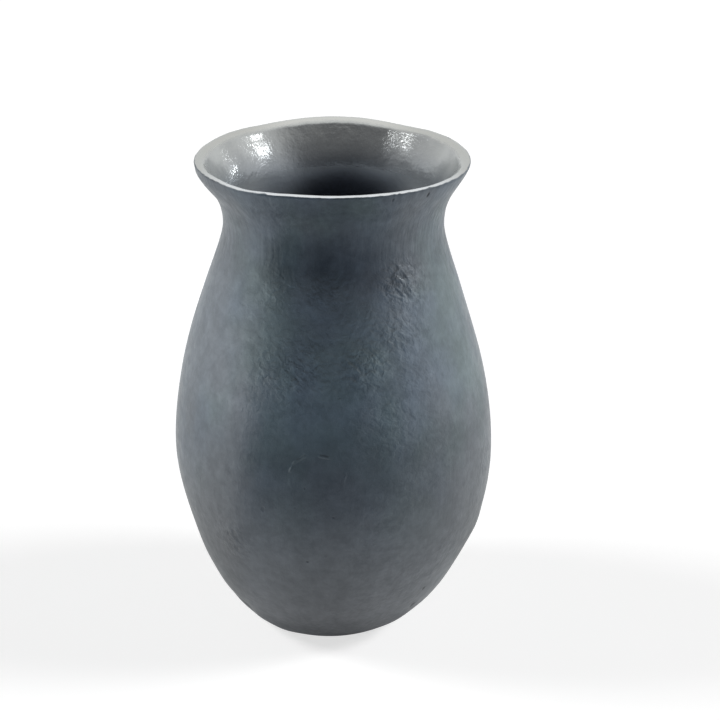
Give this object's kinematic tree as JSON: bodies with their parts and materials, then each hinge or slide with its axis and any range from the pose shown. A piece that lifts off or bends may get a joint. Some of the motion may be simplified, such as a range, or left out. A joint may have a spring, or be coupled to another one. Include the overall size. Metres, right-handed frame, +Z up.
{
  "type": "vase",
  "caption": "Baluster cast aluminium vase: full low belly, pinched neck, flared lip, and a small flat foot closed by a turned disc on rubber pads.",
  "frame": {"origin": "centre of the foot at the level of the surface that the pads stand on", "axes": "+Z up along the vase's axis, -Y towards the picture's viewer, +X to the viewer's right"},
  "size_m": [0.1636, 0.1636, 0.2509],
  "materials": {
    "cast_aluminium": "sand cast, dark blue-grey patina outside, pale bare metal on the filed lip and inside",
    "turned_aluminium": "bare, turned, with fine concentric tool marks",
    "sealant": "pale cured silicone sealant",
    "pad_rubber": "matt black rubber"
  },
  "bodies": {
    "root": {"vase_body": "cast_aluminium", "base_disc": "turned_aluminium", "seal_ring": "sealant", "foot_pad_1": "pad_rubber", "foot_pad_2": "pad_rubber", "foot_pad_3": "pad_rubber", "foot_pad_4": "pad_rubber"}
  },
  "joints": []
}
